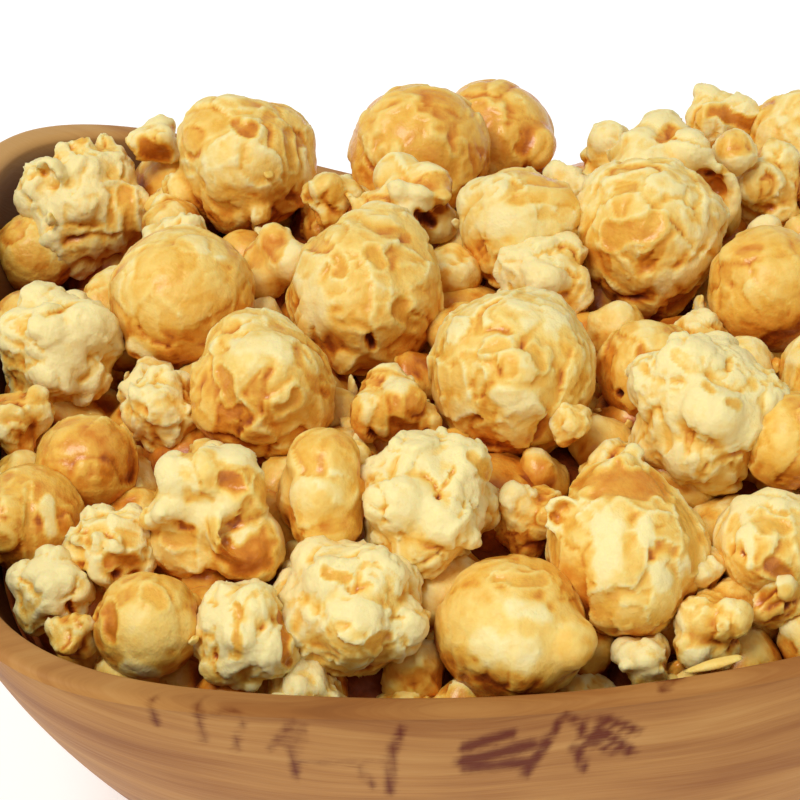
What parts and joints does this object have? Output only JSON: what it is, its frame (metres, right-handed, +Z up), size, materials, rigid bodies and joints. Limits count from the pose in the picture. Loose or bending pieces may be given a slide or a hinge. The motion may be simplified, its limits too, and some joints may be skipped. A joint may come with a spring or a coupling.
{
  "type": "wooden bowl of caramel popcorn",
  "caption": "Carved wooden bowl with a wavy rounded rim, heaped with glazed caramel popcorn.",
  "frame": {"origin": "middle of the bowl's box at the level of its flat foot", "axes": "+Z up, X along the bowl's length with the higher end at -X, -Y towards the low front of the rim"},
  "size_m": [0.208, 0.2076, 0.1117],
  "materials": {
    "bowl_wood": "oiled, satin",
    "popcorn": "caramel glaze"
  },
  "bodies": {
    "root": {"bowl": "bowl_wood", "popcorn_heap": "popcorn"}
  },
  "joints": []
}
